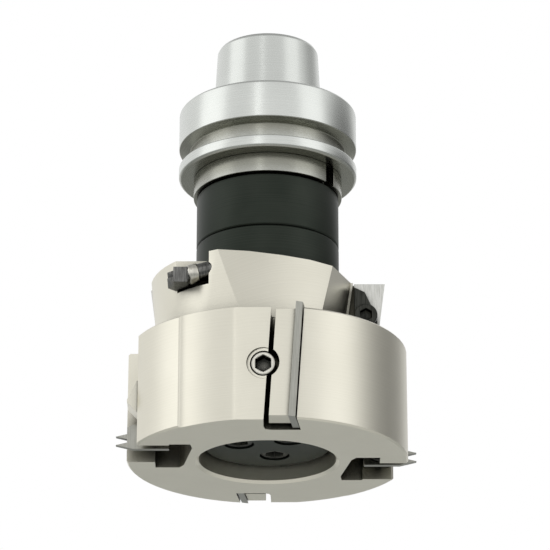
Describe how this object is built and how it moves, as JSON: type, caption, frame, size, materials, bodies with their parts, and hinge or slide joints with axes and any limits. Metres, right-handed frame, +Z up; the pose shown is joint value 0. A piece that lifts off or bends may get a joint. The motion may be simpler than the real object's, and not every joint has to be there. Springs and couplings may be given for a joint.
{
  "type": "stacked face mill",
  "caption": "Two stacked milling cutterheads with clamped knives and scoring plates on a hollow-taper arbor, with black spacers and a screwed closing disc.",
  "frame": {"origin": "on the tool axis in the lower head's bottom face", "axes": "+Z up the tool axis towards the taper; -Y is the front, with a long knife; +X the right chip pocket"},
  "size_m": [0.1028, 0.0978, 0.1546],
  "materials": {
    "satin_steel": "turned and ground steel, satin",
    "satin_nickel": "warm nickel plating over fine machining marks",
    "black_oxide": "black oxide, satin",
    "dark_steel": "dark hardened steel",
    "tool_steel": "hardened tool steel, grey",
    "bright_screw": "plated screw steel",
    "carbide": "ground carbide"
  },
  "bodies": {
    "tool": {"arbor": "satin_steel", "front_key": "dark_steel", "back_key": "dark_steel", "long_spacer": "black_oxide", "short_spacer": "black_oxide", "closing_disc": "black_oxide", "lower_head": "satin_nickel", "right_block": "satin_nickel", "left_block": "satin_nickel", "right_scorer": "carbide", "left_scorer": "carbide", "upper_head": "satin_nickel", "right_upper_knife": "carbide", "left_upper_knife": "carbide", "right_upper_clamp": "dark_steel", "left_upper_clamp": "dark_steel"},
    "closing_screw_1": {"closing_screw_1": "dark_steel"},
    "closing_screw_2": {"closing_screw_2": "dark_steel"},
    "closing_screw_3": {"closing_screw_3": "dark_steel"},
    "front_clamp_screw": {"front_clamp_screw": "bright_screw"},
    "back_clamp_screw": {"back_clamp_screw": "bright_screw"},
    "front_wedge": {"front_wedge": "satin_nickel"},
    "back_wedge": {"back_wedge": "satin_nickel"},
    "front_knife": {"front_knife": "carbide"},
    "back_knife": {"back_knife": "carbide"},
    "right_scorer_screw": {"right_scorer_screw": "dark_steel"},
    "left_scorer_screw": {"left_scorer_screw": "dark_steel"},
    "right_upper_screw": {"right_upper_screw": "dark_steel"},
    "left_upper_screw": {"left_upper_screw": "dark_steel"},
    "left_upper_scorer": {"left_upper_scorer": "tool_steel"},
    "right_upper_scorer": {"right_upper_scorer": "tool_steel"},
    "left_grub_screw": {"left_grub_screw": "dark_steel"},
    "right_grub_screw": {"right_grub_screw": "dark_steel"}
  },
  "joints": [
    {"name": "closing_screw_1_turn", "type": "hinge", "parent": "tool", "child": "closing_screw_1", "pos_m": [0.00244, 0.0098, 0.008], "axis": [0, 0, -1], "range_deg": [0, 1080]},
    {"name": "closing_screw_2_turn", "type": "hinge", "parent": "tool", "child": "closing_screw_2", "pos_m": [-0.00971, -0.00278, 0.008], "axis": [0, 0, -1], "range_deg": [0, 1080]},
    {"name": "closing_screw_3_turn", "type": "hinge", "parent": "tool", "child": "closing_screw_3", "pos_m": [0.00726, -0.00702, 0.008], "axis": [0, 0, -1], "range_deg": [0, 1080]},
    {"name": "front_wedge_release", "type": "slide", "parent": "tool", "child": "front_wedge", "axis": [-1, 0, 0], "range_m": [0, 0.0012]},
    {"name": "front_clamp_screw_travel", "type": "slide", "parent": "tool", "child": "front_clamp_screw", "axis": [-0.0872, -0.9962, 0], "range_m": [0, 0.0015]},
    {"name": "front_knife_slide", "type": "slide", "parent": "tool", "child": "front_knife", "axis": [-0.0649, 0, -0.9979], "range_m": [0, 0.038]},
    {"name": "back_wedge_release", "type": "slide", "parent": "tool", "child": "back_wedge", "axis": [1, 0, 0], "range_m": [0, 0.0012]},
    {"name": "back_clamp_screw_travel", "type": "slide", "parent": "tool", "child": "back_clamp_screw", "axis": [0.0872, 0.9962, 0], "range_m": [0, 0.0015]},
    {"name": "back_knife_slide", "type": "slide", "parent": "tool", "child": "back_knife", "axis": [0.0649, 0, -0.9979], "range_m": [0, 0.038]},
    {"name": "right_scorer_screw_turn", "type": "hinge", "parent": "tool", "child": "right_scorer_screw", "pos_m": [0.0384, 0.0076, 0.0062], "axis": [0, -1, 0], "range_deg": [0, 1080]},
    {"name": "right_upper_screw_turn", "type": "hinge", "parent": "tool", "child": "right_upper_screw", "pos_m": [0.034, -0.006, 0.0508], "axis": [0, -1, 0], "range_deg": [0, 1080]},
    {"name": "left_scorer_screw_turn", "type": "hinge", "parent": "tool", "child": "left_scorer_screw", "pos_m": [-0.0384, -0.0076, 0.0062], "axis": [0, 1, 0], "range_deg": [0, 1080]},
    {"name": "left_upper_screw_turn", "type": "hinge", "parent": "tool", "child": "left_upper_screw", "pos_m": [-0.034, 0.006, 0.0508], "axis": [0, 1, 0], "range_deg": [0, 1080]},
    {"name": "left_upper_scorer_reach", "type": "slide", "parent": "tool", "child": "left_upper_scorer", "axis": [-0.9703, 0, -0.2419], "range_m": [0, 0.0015]},
    {"name": "left_grub_screw_turn", "type": "hinge", "parent": "tool", "child": "left_grub_screw", "pos_m": [-0.0168, -0.0304, 0.063], "axis": [0, 0, 1], "range_deg": [0, 1080]},
    {"name": "right_upper_scorer_reach", "type": "slide", "parent": "tool", "child": "right_upper_scorer", "axis": [0.9703, 0, -0.2419], "range_m": [0, 0.0015]},
    {"name": "right_grub_screw_turn", "type": "hinge", "parent": "tool", "child": "right_grub_screw", "pos_m": [0.0168, 0.0304, 0.063], "axis": [0, 0, 1], "range_deg": [0, 1080]}
  ],
  "couplings": [
    {"joint": "front_clamp_screw_travel", "follows": "front_wedge_release", "ratio": 1.25},
    {"joint": "back_clamp_screw_travel", "follows": "back_wedge_release", "ratio": 1.25}
  ]
}
